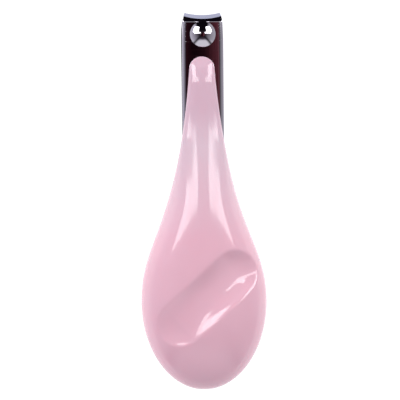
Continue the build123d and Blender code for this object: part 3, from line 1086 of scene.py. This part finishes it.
@dataclass
class Lever:
    """Stamped lever: cross bar, slot round the pin, hump and arm."""

    finishes: FinishSet
    thick: float = 1.2
    half_width: float = 4.5
    arm_half: float = 2.7
    hump_back: float = 7.5
    arm_back: float = 12.4
    arm_level: float = 5.0
    arm_length: float = 42.0
    slot_half: float = 2.0
    slot_back: float = 3.8
    slot_ahead: float = 3.0
    bar_radius: float = 0.65
    bar_inset: float = 0.1
    bar_chamfer: float = 0.15
    edge_round: float = 0.3
    bend_radius: float = 1.6
    bend_steps: int = 9
    hump_lift: float = 0.02
    taper_start: float = 2.0
    taper_end: float = 1.0
    crisp: float = 35.0

    def line(self, bar_y: float, bar_z: float) -> list[Pair]:
        """Middle line, with the hump and the bend rounded.

        Args:
            bar_y: place of the cross bar.
            bar_z: its height.

        Returns:
            Points as Y and Z.
        """
        arm_y = bar_y - self.arm_back
        corners = [(bar_y, bar_z), (bar_y - self.hump_back, self.thick / 2 + self.hump_lift),
                   (arm_y, self.arm_level), (arm_y - self.arm_length, self.arm_level)]
        path: list[Pair] = [corners[0]]
        for before, knee, after in zip(corners, corners[1:], corners[2:]):
            path += self.rounded(before, knee, after)
        return path + [corners[-1]]

    def rounded(self, before: Pair, knee: Pair, after: Pair) -> list[Pair]:
        """Arc that rounds one corner of the line.

        Args:
            before: the point before the corner.
            knee: the corner.
            after: the point after it.

        Returns:
            Points of the arc, in order.
        """
        radius = self.bend_radius
        a = (Vector(before) - Vector(knee)).normalized()
        b = (Vector(after) - Vector(knee)).normalized()
        half = a.angle(b) / 2
        centre = Vector(knee) + (a + b).normalized() * (radius / sin(half))
        first, last = (Vector(knee) + way * (radius / (sin(half) / cos(half))) - centre for way in (a, b))
        points = []
        for share in even(0.0, 1.0, self.bend_steps):
            spoke = first.lerp(last, share).normalized() * radius
            points.append(((centre + spoke).x, (centre + spoke).y))
        return points

    def width_at(self, y: float, bar_y: float) -> float:
        """Half width: broad over the leaves, narrow inside the cover.

        Args:
            y: place along the clipper.
            bar_y: place of the cross bar.

        Returns:
            Half the width.
        """
        wide_end = bar_y - self.hump_back - self.taper_start
        bend = bar_y - self.arm_back + self.taper_end
        share = min(max((wide_end - y) / (wide_end - bend), 0.0), 1.0)
        return self.half_width + (self.arm_half - self.half_width) * share

    def build(self) -> None:
        """Sweeps the strip along its line, cuts the slot and adds the bar."""
        bar_y, bar_z = joint_place("lever_flip")
        line = self.line(bar_y, bar_z)
        rings = []
        for step, (y, z) in enumerate(line):
            ahead, behind = line[min(step + 1, len(line) - 1)], line[max(step - 1, 0)]
            along = (Vector(ahead) - Vector(behind)).normalized()
            up = Vector((-along.y, along.x)) * (self.thick / 2)
            rings.append(self.section(y, z, up, self.width_at(y, bar_y)))
        lever = ring_skin("stamped_lever", rings, self.crisp)
        slot = block((-self.slot_half, bar_y - self.slot_back, bar_z - 5),
                     (self.slot_half, bar_y + self.slot_ahead, bar_z + self.slot_ahead))
        combine(lever, slot, "DIFFERENCE", self.crisp)
        bar = bar_between(self.bar_radius, self.half_width - self.bar_inset, bar_y, bar_z,
                          self.bar_chamfer)
        combine(lever, bar, "UNION", self.crisp)
        dress(lever, "lever", "lever", "steel_lever", self.finishes.stamped)

    def section(self, y: float, z: float, up: Vector, half: float) -> list[Point]:
        """Rounded rectangular section of the strip.

        Args:
            y: place of its middle along the clipper.
            z: height of its middle.
            up: half the thickness, as a vector across the strip in Y and Z.
            half: half the width.

        Returns:
            The ring's points.
        """
        r = self.edge_round / (self.thick / 2)
        ring = []
        for sx, sz in ((1, -1), (1, 1), (-1, 1), (-1, -1)):
            turn = [(1.0, 0.0), (0.7, 0.7), (0.0, 1.0)]
            turn = turn if sx * sz > 0 else turn[::-1]
            for cx, cz in turn:
                x = sx * (half - self.edge_round + self.edge_round * cx)
                level = sz * (1 - r + r * cz)
                ring.append((x, y + up.x * level, z + up.y * level))
        return ring


# ---------------------------------------------------- studio
@dataclass
class Studio:
    """Pale floor, soft boxes on both sides, a dark ceiling over the polished steel, and the camera."""

    lean: float = 3.2
    distance: float = 620.0
    span: float = 101.7
    centre: Pair = (-0.95, 0.36)
    roll: float = -0.5
    target_lift: float = 3.0
    arch: float = 530.0
    floor_reach: float = 900.0
    floor_thick: float = 0.6
    floor_glow: float = 0.92

    def floor(self) -> None:
        """White sweep of paper."""
        reach = self.floor_reach
        corners = ((-reach, -reach), (reach, -reach), (reach, reach), (-reach, reach))
        sheet = ring_skin("floor", [[(x, y, z) for x, y in corners] for z in (-self.floor_thick, 0.0)])
        material, paint = new_material("paper")
        fibre = paint.noise(900.0, 3.0)
        sockets = {
            "Base Color": paint.mix(fibre, (0.26, 0.26, 0.27, 1), (0.30, 0.30, 0.31, 1)),
            "Roughness": 0.9,
            "Emission Color": (1.0, 1.0, 1.0, 1.0),
            "Emission Strength": self.floor_glow,
        }
        paint.surface(sockets)
        sheet.data.materials.append(material)

    def lamp(self, name: str, inner: float, outer: float, ahead: Pair, glow: float) -> None:
        """Hangs one soft box on an arch over the clipper, facing it.

        Args:
            name: the lamp's name.
            inner: angle from straight up to its inner edge, in degrees; below zero is to the left.
            outer: angle from straight up to its outer edge, in degrees.
            ahead: where it starts and ends along the clipper, in millimetres.
            glow: how bright its face is, in watts per square metre and steradian.
        """
        middle, half = radians((inner + outer) / 2), radians(abs(outer - inner) / 2)
        length, height = ahead[1] - ahead[0], 2 * self.arch * sin(half) / cos(half)
        data = bpy.data.lights.new(name, "AREA")
        data.shape, data.size, data.size_y = "RECTANGLE", length * MM, height * MM
        data.energy = glow * pi * data.size * data.size_y
        lamp = bpy.data.objects.new(name, data)
        away = Vector((sin(middle), 0.0, cos(middle)))
        along = Vector((0.0, 1.0, 0.0))
        axes = Matrix((along, away.cross(along), away)).transposed().to_4x4()
        place = away * self.arch + along * (ahead[0] + ahead[1]) / 2
        lamp.matrix_world = Matrix.Translation(place * MM) @ axes
        bpy.context.scene.collection.objects.link(lamp)

    def world(self) -> None:
        """Light at the horizon, a dark ceiling, a pale card behind the tail, darkness past the nose."""
        world = bpy.data.worlds.new("studio")
        bpy.context.scene.world = world
        world.use_nodes = True
        paint = Paint(world.node_tree)
        ray = paint.node("ShaderNodeTexCoord")["Generated"]
        parts = paint.node("ShaderNodeSeparateXYZ", {}, {"Vector": ray})
        height, side, ahead = parts["Z"], parts["X"], parts["Y"]
        wall = paint.node("ShaderNodeValToRGB", {"stops": [
            (0.0, rgb(222, 220, 232)), (0.34, rgb(194, 190, 204)), (0.66, rgb(156, 151, 163)),
            (0.95, rgb(52, 44, 52))]}, {"Fac": height.clamp()})["Color"]
        right = (side * 2.5 - 0.6).clamp() * 0.5
        wall = paint.mix(right, wall, rgb(146, 145, 147))
        behind = ((ahead * -1.0 - 0.45) * 5.0).clamp() * (height < 0.86)
        card = paint.mix(behind, wall, rgb(232, 230, 238))
        corner = (1.0 - (side.size() + ahead).size() * 3.6).clamp()
        card = paint.mix(corner, card, rgb(30, 27, 33))
        middle = ((0.62 - side.size()) * 5.0).clamp()
        gloom = paint.mix(((ahead - 0.22) * 5.0).clamp() * middle, card, rgb(14, 10, 16))
        roof = paint.node("ShaderNodeValToRGB", {"stops": [
            (0.0, rgb(40, 14, 20)), (0.12, rgb(9, 3, 9)), (0.5, rgb(26, 9, 15)), (0.8, rgb(84, 38, 46)),
            (1.0, rgb(104, 62, 70))]}, {"Fac": (side * 16.0 - 0.5).clamp()})["Color"]
        overhead = ((height - 0.965) * 60.0).clamp()
        sky = paint.mix(overhead, gloom, roof)
        shader = paint.node("ShaderNodeBackground", {}, {"Color": sky, "Strength": 1.0})["Background"]
        paint.node("ShaderNodeOutputWorld", {}, {"Surface": shader})

    def camera(self) -> None:
        """Straight down with a slight lean to the left, nose at the top of the picture."""
        data = bpy.data.cameras.new("camera")
        data.sensor_width, data.sensor_fit = 36.0, "HORIZONTAL"
        data.lens = data.sensor_width * self.distance / self.span
        data.clip_start, data.clip_end = 0.01, 10.0
        camera = bpy.data.objects.new("camera", data)
        low, high = CAD_BOX
        target = Vector((self.centre[0], self.centre[1], (low[2] + high[2]) / 2 / MM + self.target_lift))
        tilt = radians(self.lean)
        back = Vector((-sin(tilt), 0.0, cos(tilt)))
        right = Vector((cos(tilt), 0.0, sin(tilt)))
        up = back.cross(right)
        basis = Matrix((right, up, back)).transposed().to_4x4()
        spin = Matrix.Rotation(radians(self.roll), 4, "Z")
        camera.matrix_world = Matrix.Translation((target + back * self.distance) * MM) @ basis @ spin
        bpy.context.scene.collection.objects.link(camera)
        bpy.context.scene.camera = camera

    def build(self) -> None:
        """Sets everything up."""
        self.floor()
        self.world()
        self.lamp("soft_box_left_near", -12.0, -52.0, (106.0, 180.0), 4.2)
        self.lamp("soft_box_left_far", -24.0, -60.0, (180.0, 600.0), 5.4)
        self.lamp("soft_box_right_near", 14.0, 52.0, (103.0, 180.0), 4.1)
        self.lamp("soft_box_right_far", 26.0, 60.0, (180.0, 600.0), 5.4)
        self.camera()
        scene = bpy.context.scene
        scene.view_settings.view_transform = "Standard"
        scene.view_settings.look = "None"


def main() -> None:
    """Builds the clipper from the steel outwards, then the studio."""
    logging.basicConfig(level=logging.INFO, format="%(name)s: %(message)s")
    finishes = FinishSet()
    Jaws(finishes).build()
    Pin(finishes).build()
    Lever(finishes).build()
    Grip(finishes).build()
    LeverCover(finishes).build()
    rivet = frame["nodes"]["tail_rivet"]
    rivet.data.materials.clear()
    rivet.data.materials.append(finishes.stamped)
    Studio().build()


if __name__ == "__main__":
    main()
